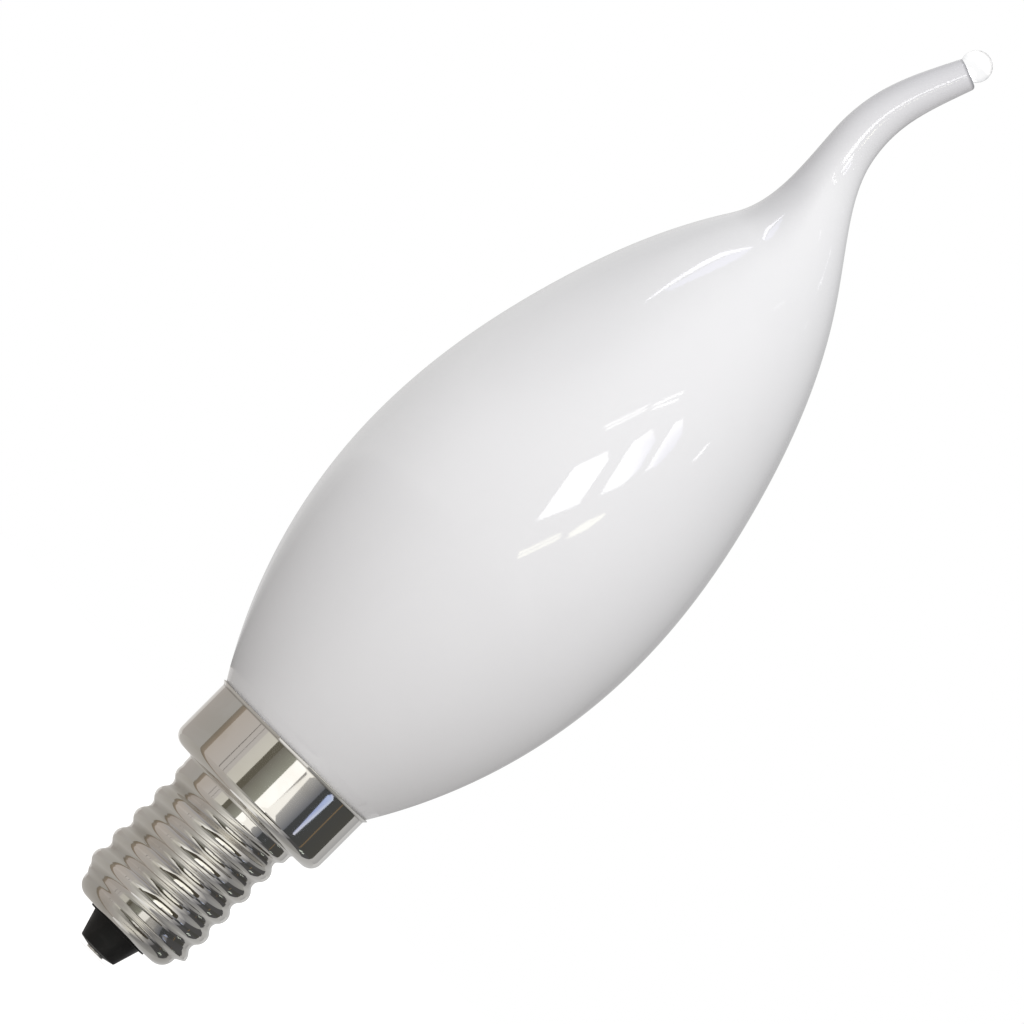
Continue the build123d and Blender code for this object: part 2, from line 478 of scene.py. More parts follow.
black_insulator, tree, shader = new_material("black_insulator")
marks = marked(tree, black_smudge, black_scuff)
feed(
    tree,
    shader,
    {
        "Base Color": blend(tree, marks["Smudge"], black_clean, black_rubbed),
        "Roughness": spread(tree, marks["Smudge"], *black_roughness),
        "Specular IOR Level": black_gloss,
        "Normal": bumped(tree, marks["Scuff"], black_scuff_depth),
    },
)

insulator_outline = outline(
    [
        (rivet_seat, seat_z - sharp_edge, 0),
        (rivet_seat, cone_dome_z - seat_edge, seat_edge),
        (cone_end, cone_end_z, cone_edge),
        (cone_top, flange_z, flange_root),
        (flange_radius, flange_z, moulded_edge),
        (flange_radius, base_z, moulded_edge),
        (insulator_neck, base_z, sharp_edge),
        (insulator_neck, base_z + sheet, sharp_edge),
        (plug_radius, base_z + sheet, moulded_edge),
        (plug_radius, plug_top, moulded_edge),
        (rivet_bore, plug_top, sharp_edge),
        (rivet_bore, seat_z, sharp_edge),
        (rivet_seat - sharp_edge, seat_z, 0),
    ],
    small_step,
)
insulator = grown(
    "insulator_visual",
    wire("insulator_visual", insulator_outline),
    (turn_outline, {"Segments": insulator_segments, "Finish": black_insulator}),
)
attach(insulator, "root")
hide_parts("insulator")


# Centre contact. A flat-headed brass rivet, tinned, set through the insulator so that its face stands
# a little proud of the cone's end, where the holder's tongue presses on it.

contact_radius = 1.0 * mm
contact_bevel = 0.08 * mm
shank_radius = 0.5 * mm
shank_edge = 0.04 * mm
contact_segments = 64
tin_clean = (0.66, 0.65, 0.62, 1)
tin_rubbed = (0.50, 0.48, 0.44, 1)
tin_roughness = (0.22, 0.42)
tin_smudge = 0.5 * mm
tin_scuff = 0.04 * mm
tin_dent_depth = 0.008 * mm

tinned_contact, tree, shader = new_material("tinned_contact")
marks = marked(tree, tin_smudge, tin_scuff)
feed(
    tree,
    shader,
    {
        "Metallic": 1,
        "Base Color": blend(tree, marks["Smudge"], tin_clean, tin_rubbed),
        "Roughness": spread(tree, marks["Smudge"], *tin_roughness),
        "Normal": bumped(tree, marks["Smudge"], tin_dent_depth),
    },
)

contact_outline = outline(
    [
        (0, 0, 0),
        (contact_radius, 0, contact_bevel),
        (contact_radius, seat_z, sharp_edge),
        (shank_radius, seat_z, sharp_edge),
        (shank_radius, plug_top, shank_edge),
        (0, plug_top, 0),
    ],
    small_step,
)
centre_contact = grown(
    "centre_contact_visual",
    wire("centre_contact_visual", contact_outline),
    (turn_outline, {"Segments": contact_segments, "Finish": tinned_contact}),
)
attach(centre_contact, "root")
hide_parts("centre_contact")


# Glass envelope. Blown in one piece and coated opal inside, cemented into the skirt by its neck. The
# tail is drawn out hot and bent, so its coat gets thinner along the way. The outer side of the bend
# is painted darker, a painted shade, and the end of the tail is darker in a narrow rim.

neck_gap = 0.1 * mm
mouth_gap = 0.02 * mm
belly_radius = 17.5 * mm
belly_z = 56.07 * mm
belly_pull = 6.53 * mm
upper_mid = Vector((14.85, 74.62)) * mm
upper_lean = math.radians(15.02)
upper_pull_down = 6.2 * mm
upper_pull_up = 6.66 * mm
shoulder_radius = 7.1 * mm
shoulder_z = 93.17 * mm
shoulder_angle = math.radians(32.5)
shoulder_pull = 6.79 * mm
tail_root = 3.27 * mm
tail_end = 1.57 * mm
tail_height = 25.78 * mm
tail_start_pull = 5.0 * mm
tail_sway = 6.14 * mm
tail_sway_height = 13.87 * mm
tail_end_offset = 0.25 * mm
tail_end_lean = math.radians(22.9)
tail_end_pull = 8.36 * mm
tail_edge = 0.35 * mm
lower_steps = 50
upper_steps = 36
tail_steps = 110
edge_steps = 12
end_rings = 6
glass_segments = 160


def drawing_tree():
    """Puts a ring at every station of a spine in the X-Z plane, of the station's radius and tilt."""
    tree, given, result = new_tree(
        "draw glass",
        "GeometryNodeTree",
        {"Spine": "NodeSocketGeometry", "Segments": "NodeSocketInt", "Finish": "NodeSocketMaterial"},
        {"Drawn": "NodeSocketGeometry"},
    )
    stations = node(tree, "GeometryNodeAttributeDomainSize", {0: given["Spine"]}).outputs["Point Count"]
    grid, share, ring = flat_grid(tree, given["Segments"], sums(tree, "SUBTRACT", stations, 1))

    def at_station(value, data_type):
        inputs = {"Geometry": given["Spine"], "Value": value, "Index": ring}
        return node(tree, "GeometryNodeSampleIndex", inputs, data_type=data_type).outputs[0]

    def named(label):
        value = node(tree, "GeometryNodeInputNamedAttribute", {"Name": label}, data_type="FLOAT")
        return at_station(value.outputs[0], "FLOAT")

    centre = at_station(node(tree, "GeometryNodeInputPosition").outputs[0], "FLOAT_VECTOR")
    radius, tilt, way = named("radius"), named("tilt"), named("along")
    turn = sums(tree, "MULTIPLY", share, math.tau)
    across = sums(tree, "MULTIPLY", radius, sums(tree, "COSINE", turn))
    ring_place = {
        "X": sums(tree, "MULTIPLY", across, sums(tree, "COSINE", tilt)),
        "Y": sums(tree, "MULTIPLY", radius, sums(tree, "SINE", turn)),
        "Z": sums(tree, "MULTIPLY", across, sums(tree, "SINE", tilt)),
    }
    ring_place = node(tree, "ShaderNodeCombineXYZ", ring_place).outputs[0]
    spot = sums(tree, "ADD", centre, ring_place, kind="ShaderNodeVectorMath")
    chart = node(tree, "ShaderNodeCombineXYZ", {"X": share, "Y": way}).outputs[0]
    charted = {"Geometry": grid, "Name": "UVMap", "Value": chart}
    charted = node(tree, "GeometryNodeStoreNamedAttribute", charted, data_type="FLOAT2", domain="CORNER")
    rolled = node(tree, "GeometryNodeSetPosition", {"Geometry": charted.outputs[0], "Position": spot})
    tree.links.new(skinned(tree, rolled.outputs[0], given["Finish"]), result["Drawn"])
    return tree


draw_glass = drawing_tree()

neck_radius = skirt_radius - sheet - neck_gap
neck_z = shelf_z + sheet + neck_gap
mouth_radius = neck_radius + neck_gap - mouth_gap + lip_flare
neck = outline(
    [
        (0, neck_z, 0),
        (neck_radius, neck_z, skirt_foot - sheet - neck_gap),
        (neck_radius, skirt_top, soft_bend),
        (mouth_radius, lip_top, 0),
    ],
    plain_step,
)
swell_out = belly_radius - mouth_radius
rise = belly_z - lip_top
body_arc = (swell_out**2 + rise**2) / (2 * swell_out)
body_start = math.asin(rise / body_arc)
lower_body = []
for i in range(1, lower_steps):
    below = body_start * (1 - i / lower_steps)
    radius = belly_radius - body_arc * (1 - math.cos(below))
    lower_body.append(Vector((radius, belly_z - body_arc * math.sin(below))))
belly = Vector((belly_radius, belly_z))
belly_high = belly + Vector((0, belly_pull))
mid_run = Vector((-math.sin(upper_lean), math.cos(upper_lean)))
mid_low = upper_mid - mid_run * upper_pull_down
mid_high = upper_mid + mid_run * upper_pull_up
shoulder = Vector((shoulder_radius, shoulder_z))
shoulder_run = Vector((-math.sin(shoulder_angle), math.cos(shoulder_angle)))
shoulder_low = shoulder - shoulder_run * shoulder_pull
upper_body = interpolate_bezier(belly, belly_high, mid_low, upper_mid, upper_steps)
upper_body += interpolate_bezier(upper_mid, mid_high, shoulder_low, shoulder, upper_steps)[1:]
body = [(0, z, radius, 0) for radius, z in neck + lower_body + upper_body]


def on_curve(pulls, share):
    """Point at a share of a smooth curve between the first and the last of its pulls, and its heading."""
    while len(pulls) > 2:
        pulls = [here.lerp(there, share) for here, there in zip(pulls, pulls[1:])]
    return pulls[0].lerp(pulls[1], share), (pulls[1] - pulls[0]).normalized()


tail_tip = Vector((-tail_end_offset, shoulder_z + tail_height))
tip_run = Vector((math.sin(tail_end_lean), math.cos(tail_end_lean)))
tail_pulls = [
    Vector((0, shoulder_z)),
    Vector((0, shoulder_z + tail_start_pull)),
    Vector((-tail_sway, shoulder_z + tail_sway_height)),
    tail_tip - tip_run * tail_end_pull,
    tail_tip,
]
tail_line = [on_curve(tail_pulls, i / tail_steps) for i in range(tail_steps + 1)]
tail_ways = [0]
for (before, _), (after, _) in zip(tail_line, tail_line[1:]):
    tail_ways.append(tail_ways[-1] + (after - before).length)
tail_length = tail_ways[-1]
taper = (tail_root - tail_end) / tail_length
flare = shoulder_radius - tail_root
flare_length = 2 * flare / (math.tan(shoulder_angle) - taper)


def tail_ring(way, point, run, inset=0):
    """Ring of the tail (x, height, radius, tilt), a way along its spine, and smaller by an inset."""
    fade = max(1 - way / flare_length, 0)
    radius = tail_root - taper * way + flare * fade**2 - inset
    return *point, radius, math.atan2(-run.x, run.y) * (1 - fade)


tail = []
for way, (point, run) in zip(tail_ways, tail_line):
    if 0 < way < tail_length - tail_edge:
        tail.append(tail_ring(way, point, run))
for i in range(edge_steps + 1):
    turn = math.pi / 2 * i / edge_steps
    back = tail_edge * (1 - math.sin(turn))
    inset = tail_edge * (1 - math.cos(turn))
    tail.append(tail_ring(tail_length - back, tail_tip - tip_run * back, tip_run, inset))
end_x, end_z, end_radius, end_tilt = tail[-1]
tail += [(end_x, end_z, end_radius * (1 - i / end_rings), end_tilt) for i in range(1, end_rings + 1)]


def ways_along(stations):
    """Way of each station (x, height, radius, tilt) along the glass."""
    ways = [0]
    for before, after in zip(stations, stations[1:]):
        ways.append(ways[-1] + math.dist(before[:3], after[:3]))
    return ways


def spine(name, stations):
    """Wire of stations (x, height, radius, tilt), each with its way along the glass."""
    x, z, radius, tilt = zip(*stations)
    return wire(name, zip(x, z), radius=radius, tilt=tilt, along=ways_along(stations))


opal_full = (0.868, 0.869, 0.886, 1)
opal_smudged = (0.858, 0.859, 0.876, 1)
opal_thin = (0.74, 0.74, 0.77, 1)
opal_painted_side_shade = (0.58, 0.58, 0.605, 1)
opal_dark_end = (0.34, 0.34, 0.36, 1)
opal_roughness = (0.03, 0.06)
opal_smudge = 14 * mm
opal_scuff = 0.3 * mm
glass_ior = 1.5
thinning_start = 9 * mm
side_shade_reach = 8 * mm
dark_end_width = 0.6 * mm
tail_roughness = 0.05
draw_line_width = 0.06 * mm
draw_line_depth = 0.00015 * mm
along_draw_line = 0.03

opal_glass, tree, shader = new_material("opal_glass")
marks = marked(tree, opal_smudge, opal_scuff)
chart = node(tree, "ShaderNodeTexCoord").outputs["UV"]
across, way, _ = node(tree, "ShaderNodeSeparateXYZ", {0: chart}).outputs
shoulder_way = ways_along(body)[-1]
rim_way = ways_along(body + tail)[-1] - end_radius - dark_end_width
past_shoulder = sums(tree, "SUBTRACT", way, shoulder_way)
past_bend = sums(tree, "SUBTRACT", way, shoulder_way + thinning_start)
past_rim = sums(tree, "SUBTRACT", way, rim_way)
outer_side = sums(tree, "MULTIPLY", sums(tree, "COSINE", sums(tree, "MULTIPLY", across, math.tau)), -1)
# Painted shade: the outer side of the tail's bend is darker, growing in past the shoulder.
on_tail = spread(tree, past_shoulder, 0, 1, side_shade_reach)
painted_side_shade = sums(tree, "MULTIPLY", spread(tree, outer_side, 0, 1), on_tail)
thin = spread(tree, past_bend, 0, 1, tail_length - thinning_start)
# The end of the tail is darker in a narrow rim.
dark_end = spread(tree, past_rim, 0, 1, dark_end_width / 2)
coat = blend(tree, marks["Smudge"], opal_full, opal_smudged)
coat = blend(tree, painted_side_shade, coat, opal_painted_side_shade)
coat = blend(tree, thin, coat, opal_thin)
polish = spread(tree, marks["Smudge"], *opal_roughness)
drawn_out = sums(tree, "MULTIPLY", chart, (tail_root, along_draw_line, 0), kind="ShaderNodeVectorMath")
draw_lines = {"Vector": drawn_out, "Scale": 1 / draw_line_width, "Detail": 2}
draw_lines = node(tree, "ShaderNodeTexNoise", draw_lines).outputs[0]
feed(
    tree,
    shader,
    {
        "Base Color": blend(tree, dark_end, coat, opal_dark_end),
        "Roughness": sums(tree, "MULTIPLY_ADD", thin, tail_roughness, polish),
        "Normal": bumped(tree, sums(tree, "MULTIPLY", draw_lines, thin), draw_line_depth),
        "IOR": glass_ior,
    },
)

envelope = grown(
    "glass_envelope_visual",
    spine("glass_envelope_visual", body + tail),
    (draw_glass, {"Segments": glass_segments, "Finish": opal_glass}),
)
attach(envelope, "root")
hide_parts("glass_envelope")


# Tail bead. A drop of clear glass, melted onto the end of the tail and let run round by itself. It sits
# a little into the tail, and its rim is painted greyer as the surface turns away, a painted shade for
# the light that goes through more glass there.

bead_radius = 1.575 * mm
bead_rise = 0.95 * mm
bead_rings = 48
bead_segments = 96
clear_full = (1, 1, 1, 1)
clear_smudged = (0.98, 0.985, 0.99, 1)
clear_painted_rim_shade = (0.66, 0.67, 0.69, 1)
clear_roughness = (0.0, 0.03)
clear_smudge = 1.5 * mm
clear_scuff = 0.1 * mm
rim_start = 0.3
rim_reach = 0.5

clear_glass, tree, shader = new_material("clear_glass")
marks = marked(tree, clear_smudge, clear_scuff)
# Painted shade: the bead's colour turns greyer towards its rim, by how far the surface turns away.
facing = node(tree, "ShaderNodeLayerWeight").outputs["Facing"]
painted_rim_shade = spread(tree, sums(tree, "SUBTRACT", facing, rim_start), 0, 1, rim_reach)
through = blend(tree, marks["Smudge"], clear_full, clear_smudged)
feed(
    tree,
    shader,
    {
        "Base Color": blend(tree, painted_rim_shade, through, clear_painted_rim_shade),
        "Roughness": spread(tree, marks["Smudge"], *clear_roughness),
        "IOR": glass_ior,
        "Transmission Weight": 1,
    },
)

bead_stations = []
for i in range(bead_rings + 1):
    turn = math.pi * i / bead_rings
    height = end_z + bead_rise - bead_radius * math.cos(turn)
    bead_stations.append((end_x, height, bead_radius * math.sin(turn), 0))
bead = grown(
    "tail_bead_visual",
    spine("tail_bead_visual", bead_stations),
    (draw_glass, {"Segments": bead_segments, "Finish": clear_glass}),
)
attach(bead, "root")
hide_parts("glass_envelope")


# Camera. It stands far off with a long lens, level with the lamp, and is rolled so that the lamp leans
# up to the right across the picture.

view_width = 98.2 * mm
view_middle = Vector((-1.53, 0, 58.2)) * mm
lens = 900
far_clip = 20
camera_roll = math.radians(-45)

camera = bpy.data.objects.new("camera", bpy.data.cameras.new("camera"))
camera.data.lens = lens
camera.data.clip_end = far_clip
camera.location = view_middle - Vector((0, view_width * lens / camera.data.sensor_width, 0))
camera.rotation_euler = (math.radians(90), camera_roll, 0)
bpy.context.scene.collection.objects.link(camera)
bpy.context.scene.camera = camera
bpy.context.scene.view_settings.view_transform = "Standard"


# Room and lamps. A white room that lights the object softly from all round, one soft lamp in front and
# above, and a weaker one behind, so that the back of the glass isn't dull. The lamps show in nothing.

room_white = (1, 1, 1, 1)
shade_level = 0.55


def shown_rays(tree):
    """1 for the rays that show the room itself: to the camera, or by way of metal and glass."""
    path = node(tree, "ShaderNodeLightPath").outputs
    mirrored = sums(tree, "MAXIMUM", path["Is Glossy Ray"], path["Is Transmission Ray"])
    return sums(tree, "MAXIMUM", path["Is Camera Ray"], mirrored)


world = bpy.data.worlds.new("white_room")
world.use_nodes = True
bpy.context.scene.world = world
tree = world.node_tree
strength = spread(tree, shown_rays(tree), shade_level, 1)
feed(tree, tree.nodes["Background"], {"Color": room_white, "Strength": strength})


def soft_lamp(name, power, size, place):
    """Square lamp at a place beside the middle of the view, which it points at."""
    lamp = bpy.data.objects.new(name, bpy.data.lights.new(name, "AREA"))
    lamp.data.size = size
    lamp.data.energy = power
    lamp.location = view_middle + place
    lamp.rotation_euler = (-place).to_track_quat("-Z", "Y").to_euler()
    lamp.visible_camera = False
    lamp.visible_glossy = False
    bpy.context.scene.collection.objects.link(lamp)


soft_lamp("key", power=7.6, size=0.7, place=Vector((0.04, -1.03, 0.61)))
soft_lamp("fill", power=2.8, size=0.4, place=Vector((-0.04, 1.03, 0.5)))


# Floor. A pale sheet just under the contact, as white to the eye as the room, which keeps the lamp's
# shadow. It is clear when it is seen from underneath.

floor_reach = 1.5
floor_z = -0.2 * mm
floor_colour = (0.52, 0.50, 0.48, 1)
floor_glow = 0.8


def staged(name, corners, faces, material):
    """Object of the studio, with a material, that isn't part of the lamp."""
    mesh = bpy.data.meshes.new(name)
    mesh.from_pydata(corners, [], faces)
    mesh.materials.append(material)
    thing = bpy.data.objects.new(name, mesh)
    bpy.context.scene.collection.objects.link(thing)
    return thing


pale_floor, tree, shader = new_material("pale_floor")
feed(
    tree,
    shader,
    {
        "Base Color": floor_colour,
        "Roughness": 1,
        "Specular IOR Level": 0,
        "Emission Color": room_white,
        "Emission Strength": spread(tree, shown_rays(tree), 0, floor_glow),
    },
)
under = node(tree, "ShaderNodeNewGeometry").outputs["Backfacing"]
clear = node(tree, "ShaderNodeBsdfTransparent").outputs[0]
sides = node(tree, "ShaderNodeMixShader", {0: under, 1: shader.outputs[0], 2: clear}).outputs[0]
feed(tree, tree.nodes["Material Output"], {"Surface": sides})
floor_corners = [(x * floor_reach, y * floor_reach, floor_z) for x, y in ((-1, -1), (1, -1), (1, 1), (-1, 1))]
floor = staged("floor", floor_corners, [(0, 1, 2, 3)], pale_floor)
floor.visible_glossy = False


# Mirrored room. Cards that only the bright nickel and the gloss of the glass show, in one mesh with a
# light at each corner: far walls, a flat hood that parts what the glass shows from what the cap shows,
# a low ring round the cap, and windows and tubes for the glass.

wall_far = 1.5
hood_z = 28.5 * mm
hood_gap = 0.05 * mm
hood_inner = 10.4 * mm
hood_step = 32 * mm
hood_outer = 420 * mm
bend_step = 10

card_light = bpy.data.materials.new("card_light")
card_light.use_nodes = True
tree = card_light.node_tree
tree.nodes.remove(tree.nodes["Principled BSDF"])
glow = node(tree, "ShaderNodeAttribute", attribute_name="glow").outputs["Color"]
lit = node(tree, "ShaderNodeEmission", {"Color": glow}).outputs[0]
feed(tree, tree.nodes["Material Output"], {"Surface": lit})
card_light.cycles.emission_sampling = "NONE"

card_corners = []
card_faces = []
card_glow = []


def hang(corners, lights):
    """Card between corners, with a light at each."""
    card_faces.append(range(len(card_corners), len(card_corners) + len(corners)))
    card_corners.extend(corners)
    for light in lights:
        card_glow.extend((*light, 1))


def card(place, corners, *lights, **depth):
    """Card between corners of a surface, of one light or of a light at each corner.

    The depth is the surface's own: how far off the card hangs, or how many layers down.
    """
    lights = lights if len(lights) == len(corners) else lights * len(corners)
    hang([place(*corner, **depth) for corner in corners], lights)


def bent(place, left, right, low, high, low_left, low_right, high_left, high_right):
    """Card bent round the lamp from turn to turn and from low to high, with a light at each corner."""
    spans = max(1, math.ceil((right - left) / bend_step))
    low_ends = Vector(low_left), Vector(low_right)
    high_ends = Vector(high_left), Vector(high_right)
    for i in range(spans):
        shares = i / spans, (i + 1) / spans
        first, last = [left + (right - left) * share for share in shares]
        low_first, low_last = [low_ends[0].lerp(low_ends[1], share) for share in shares]
        high_first, high_last = [high_ends[0].lerp(high_ends[1], share) for share in shares]
        corners = [place(first, low), place(last, low), place(last, high), place(first, high)]
        hang(corners, [low_first, low_last, high_last, high_first])


def seen(turn, rise, far=1.0):
    """Place that the lamp sees at a turn and a rise in degrees, this far from its axis.

    A turn starts at the camera and goes to the right, and a rise starts at the level.
    """
    turn = math.radians(turn)
    return view_middle + Vector((math.sin(turn), -math.cos(turn), math.tan(math.radians(rise)))) * far


def wall(turn, rise):
    """Place on the walls of the room."""
    return seen(turn, rise, wall_far)


def on_hood(turn, reach, height):
    """Place on a flat hood, a reach from the axis."""
    turn = math.radians(turn)
    return Vector((math.sin(turn) * reach, -math.cos(turn) * reach, height))


def hood_top(turn, reach):
    """Place on the side of the hood that the glass sees."""
    return on_hood(turn, reach, hood_z + hood_gap)


def hood_underside(turn, reach):
    """Place on the side of the hood that the cap sees."""
    return on_hood(turn, reach, hood_z - hood_gap)


def over_thread(turn, rise, layer=2):
    """Place on the hood's underside, some layers down, that the thread's middle sees at a turn and a rise."""
    middle = thread_low + thread_length / 2
    reach = thread_crest + (hood_z - middle) / math.tan(math.radians(rise))
    return on_hood(turn, reach, hood_z - layer * hood_gap)


def grey(level):
    """Slightly warm grey light."""
    return Vector((1, 0.995, 0.99)) * level


# Round the glass: turns, light at the level from left to right, and light away from the level
glass_wall_foot = -4
glass_wall_level = 9
glass_wall_away = 26
glass_wall_top = 66
round_glass = [
    (-180, -155, 0.65, 0.95, 0.65, 0.85),
    (-155, -125, 0.95, 1.20, 0.85, 0.28),
    (-125, -60, 1.20, 1.25, 0.28, 0.22),
    (-60, -20, 1.25, 0.74, 0.22, 0.70),
    (-20, 29, 0.74, 0.66, 0.70, 0.66),
    (29, 60, 0.66, 0.42, 0.66, 0.48),
    (60, 150, 0.42, 0.20, 0.48, 0.40),
    (150, 180, 0.20, 0.65, 0.40, 0.65),
]
for left, right, level_left, level_right, away_left, away_right in round_glass:
    level = grey(level_left), grey(level_right)
    away = grey(away_left), grey(away_right)
    bent(wall, left, right, glass_wall_foot, glass_wall_level, *level, *level)
    bent(wall, left, right, glass_wall_level, glass_wall_away, *level, *away)
    bent(wall, left, right, glass_wall_away, glass_wall_top, *away, *away)
    bent(hood_top, left, right, hood_inner, hood_outer, *away, *level)

# Round the cap: turns, light near the level from left to right, and light steeply up and down
cap_wall_steep = -32
cap_wall_foot = -78
dark = (0.095, 0.095, 0.098)
round_cap = [
    (-180, -91, (0.56, 0.54, 0.52), (0.46, 0.445, 0.42), (0.56, 0.54, 0.52), (0.47, 0.455, 0.43)),
    (-91, -82, (0.24, 0.21, 0.17), (0.34, 0.28, 0.22), (0.24, 0.21, 0.17), (0.34, 0.28, 0.22)),
    (-82, -39, (0.55, 0.50, 0.465), (0.54, 0.515, 0.49), (0.52, 0.48, 0.45), (0.52, 0.50, 0.48)),
    (-39, -22, (0.58, 0.565, 0.53), (0.50, 0.49, 0.46), (0.52, 0.50, 0.48), (0.58, 0.57, 0.54)),
    (-22, 8, (0.50, 0.49, 0.46), (0.38, 0.38, 0.365), (0.58, 0.57, 0.54), (0.92, 0.91, 0.87)),
    (8, 26, (0.38, 0.38, 0.365), (0.52, 0.52, 0.51), (0.92, 0.91, 0.87), (1.12, 1.11, 1.04)),
    (26, 34, (0.52, 0.52, 0.51), (1.20, 1.19, 1.13), (1.12, 1.11, 1.04), (1.10, 1.09, 1.02)),
    (34, 46, (1.20, 1.19, 1.13), (0.90, 0.89, 0.87), (1.10, 1.09, 1.02), (0.90, 0.89, 0.86)),
    (46, 74, (0.62, 0.62, 0.62), (0.20, 0.20, 0.22), (0.80, 0.79, 0.78), (0.32, 0.32, 0.33)),
    (74, 128, dark, dark, (0.30, 0.30, 0.31), (0.42, 0.42, 0.41)),
    (128, 180, (0.52, 0.52, 0.52), (0.62, 0.62, 0.62), (0.52, 0.52, 0.52), (0.62, 0.62, 0.62)),
]
for left, right, *lights in round_cap:
    level, steep = lights[:2], lights[2:]
    bent(wall, left, right, cap_wall_steep, glass_wall_foot, *level, *level)
    bent(wall, left, right, cap_wall_foot, cap_wall_steep, *steep, *steep)
    bent(hood_underside, left, right, hood_step, hood_outer, *level, *level)
    bent(hood_underside, left, right, hood_inner, hood_step, *steep, *steep)

# Over the thread: a lilac sky, a bright streak, a dark eye with a sunlit pane in it, and the eye's lower
# lids. The two glints show at the right end of each crest and root.
lilac = (0.44, 0.43, 0.45)
dim = (0.18, 0.18, 0.18)
dull = (0.50, 0.48, 0.47)
bright = (1.15, 1.15, 1.12)
olive = (0.08, 0.072, 0.055)
sunlit = (1.4, 1.39, 1.27)
glint = (0.9, 1.0, 0.9)
lid_far = 1.4
glint_far = 1.35
bent(over_thread, -82, -30, 46, 77, dull, lilac, dull, lilac)
card(over_thread, [(-30, 46), (-4, 46), (16, 77), (-30, 77)], lilac, dim, dim, lilac)
card(over_thread, [(-36, 8), (-16, 6), (2, 44), (-6, 48)], dull, bright, bright, dull, layer=3)
card(over_thread, [(-16, 6), (2, 42), (30, 45), (56, 38), (56, 6)], olive, layer=4)
card(over_thread, [(6, 6), (10, 19), (20, 26), (36, 25), (46, 15), (46, 6)], sunlit, layer=5)
card(seen, [(-16, -8), (3, -14), (30, -26), (56, -20), (56, -8)], olive, far=lid_far)
card(seen, [(-14, -55), (30, -46), (70, -44), (70, -49), (30, -52)], olive, far=lid_far)
card(seen, [(101, -25), (105.5, -25), (106, -17), (102, -17)], glint, far=glint_far)
card(seen, [(108, -24), (111.5, -24), (111.5, -18), (108.5, -18)], glint, far=glint_far)

# Low ring, which skirt and band show: turns, and light from left to right. In front of it hang three
# thin lines, a pale wedge and a blue blade.
ring_far = 0.15
line_far = 0.149
shape_far = 0.148
ring_low = -12
ring_high = 28.4
ring = [
    (-180, -151, (0.85, 0.84, 0.83), (0.68, 0.66, 0.64)),
    (-151, -91, (0.48, 0.45, 0.43), (0.47, 0.46, 0.445)),
    (-91, -82, (0.26, 0.23, 0.19), (0.36, 0.30, 0.24)),
    (-82, -39, (0.58, 0.53, 0.49), (0.61, 0.585, 0.57)),
    (-39, -22.5, (0.72, 0.70, 0.65), (0.77, 0.755, 0.69)),
    (-22.5, -13.5, (0.15, 0.14, 0.11), (0.15, 0.14, 0.11)),
    (-13.5, 8.5, (0.21, 0.20, 0.175), (0.39, 0.40, 0.345)),
    (8.5, 26, (1.45, 1.45, 1.43), (1.45, 1.45, 1.43)),
    (26, 29, (0.40, 0.39, 0.38), (0.40, 0.39, 0.38)),
    (29, 58, (0.64, 0.63, 0.61), (0.18, 0.19, 0.22)),
    (58, 127.5, (0.07, 0.075, 0.08), (0.085, 0.084, 0.076)),
    (127.5, 149, (0.58, 0.58, 0.58), (0.44, 0.44, 0.45)),
    (149, 180, (0.70, 0.70, 0.70), (0.50, 0.50, 0.50)),
]
thin_lines = [
    (-53.0, -52.2, (0.12, 0.11, 0.10)),
    (-45.55, -44.85, (0.20, 0.19, 0.18)),
    (92.5, 94.5, (0.24, 0.17, 0.10)),
]


def on_ring(turn, height, reach=ring_far):
    """Place at a height in millimetres on the ring, where the skirt shows a turn as if from far."""
    turn = math.radians(turn)
    turn -= skirt_radius / reach * math.sin(turn / 2)
    return Vector((math.sin(turn) * reach, -math.cos(turn) * reach, height * mm))


for left, right, light_left, light_right in ring:
    bent(on_ring, left, right, ring_low, ring_high, light_left, light_right, light_left, light_right)
for left, right, light in thin_lines:
    line = [(left, ring_low), (right, ring_low), (right, ring_high), (left, ring_high)]
    card(on_ring, line, light, reach=line_far)
wedge_light = (1.25, 1.24, 1.20)
card(on_ring, [(14, 8), (45, 8), (33, 27), (31.2, 27)], wedge_light, reach=shape_far)
blade_top = (0.75, 0.88, 1.15)
blade_blue = (0.42, 0.52, 0.95)
blade_end = (0.9, 0.9, 1.0)
blade_lights = [blade_top, blade_blue, blade_end, blade_end, blade_blue, blade_top]
blade = [(65.5, 26.5), (68.3, 22.5), (70.8, 18), (72, 18), (76, 22.5), (78.5, 26.5)]
card(on_ring, blade, *blade_lights, reach=shape_far)

# Windows and tubes on the belly, specks on the right of the shoulder, and a long skylight on its left
daylight = (6, 6, 6)
dusk = (1.8, 1.8, 2.6)
cool_tube = (6, 6, 5.8)
warm_tube = (5.2, 5.2, 4.0)
speck_light = (4, 4, 4.2)
speck_half = 0.3
skylight = (5.5, 5.5, 6)
sky_haze = (1.6, 1.6, 2.4)
haze_far = 1.05
card(seen, [(4.8, 5.8), (16.7, 13.0), (13.8, 17.5), (11.0, 21.5), (6.0, 22.6), (-2.2, 17.3)], daylight)
middle_window = [(22.7, 16.6), (29.8, 20.0), (31.4, 23.4), (26.7, 27.6), (19.0, 28.6), (14.8, 25.9)]
card(seen, middle_window, daylight, daylight, dusk, dusk, daylight, daylight)
right_window = [(35.8, 23.3), (39.8, 24.6), (41.4, 27.5), (39.2, 29.5), (32.6, 31.2), (29.2, 30.6)]
card(seen, right_window, daylight, dusk, dusk, dusk, daylight, daylight)
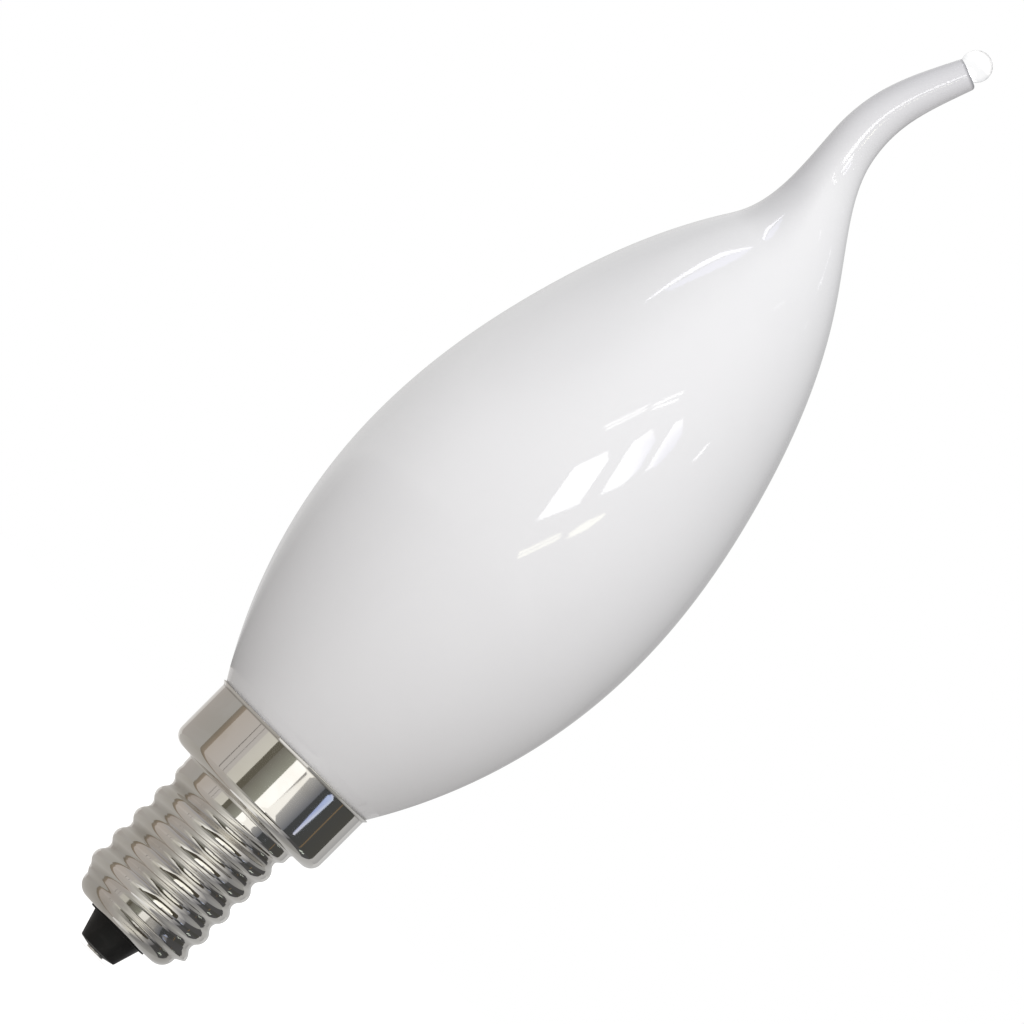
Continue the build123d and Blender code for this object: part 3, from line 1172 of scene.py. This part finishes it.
card(seen, [(60.6, 25.9), (62.6, 26.2), (64.0, 28.1), (62.0, 27.9)], daylight)
card(seen, [(-8.2, 24.9), (-6.9, 24.8), (4.3, 30.5), (3.4, 30.7)], cool_tube)
card(seen, [(-5.9, 24.8), (-4.9, 24.6), (5.6, 30.2), (4.9, 30.4)], cool_tube)
card(seen, [(6.2, 31.0), (7.3, 30.9), (18.6, 34.4), (17.5, 34.7)], cool_tube)
card(seen, [(7.9, 30.7), (8.9, 30.5), (19.0, 33.1), (18.6, 33.5)], cool_tube)
card(seen, [(10.8, -0.4), (11.9, -0.9), (22.0, 7.1), (20.9, 7.5)], warm_tube)
card(seen, [(12.2, -1.1), (13.2, -1.6), (23.4, 6.6), (22.3, 7.0)], warm_tube)
card(seen, [(25.2, 8.3), (26.6, 7.3), (32.0, 10.7), (34.6, 14.4), (33.3, 14.7), (28.0, 11.7)], warm_tube)
for turn, rise, turn_end, rise_end in [
    (41.6, 53.5, 50.5, 55.5),
    (101.0, 46.8, 103.5, 46.5),
    (89.6, 40.9, 90.5, 41.9),
    (100.8, 40.0, 103.0, 40.8),
]:
    low_edge = [(turn, rise - speck_half), (turn_end, rise_end - speck_half)]
    high_edge = [(turn_end, rise_end + speck_half), (turn, rise + speck_half)]
    card(seen, low_edge + high_edge, speck_light)
card(seen, [(-71.1, 33.6), (-70.2, 34.6), (-74.2, 39.6), (-77.3, 38.4)], skylight)
card(seen, [(-77.3, 38.4), (-74.2, 39.6), (-76.6, 46.9), (-83.0, 45.6), (-81.3, 41.8)], skylight)
card(seen, [(-83.0, 45.6), (-76.6, 46.9), (-69.6, 55.0), (-72.0, 54.5)], skylight)
card(seen, [(-71, 37), (-67, 38), (-63, 46), (-62, 53), (-69, 55.2), (-75, 47)], sky_haze, far=haze_far)

cards = staged("cards", card_corners, card_faces, card_light)
cards.data.attributes.new("glow", "FLOAT_COLOR", "POINT").data.foreach_set("color", card_glow)
cards.visible_camera = False
cards.visible_diffuse = False
cards.visible_transmission = False
cards.visible_shadow = False
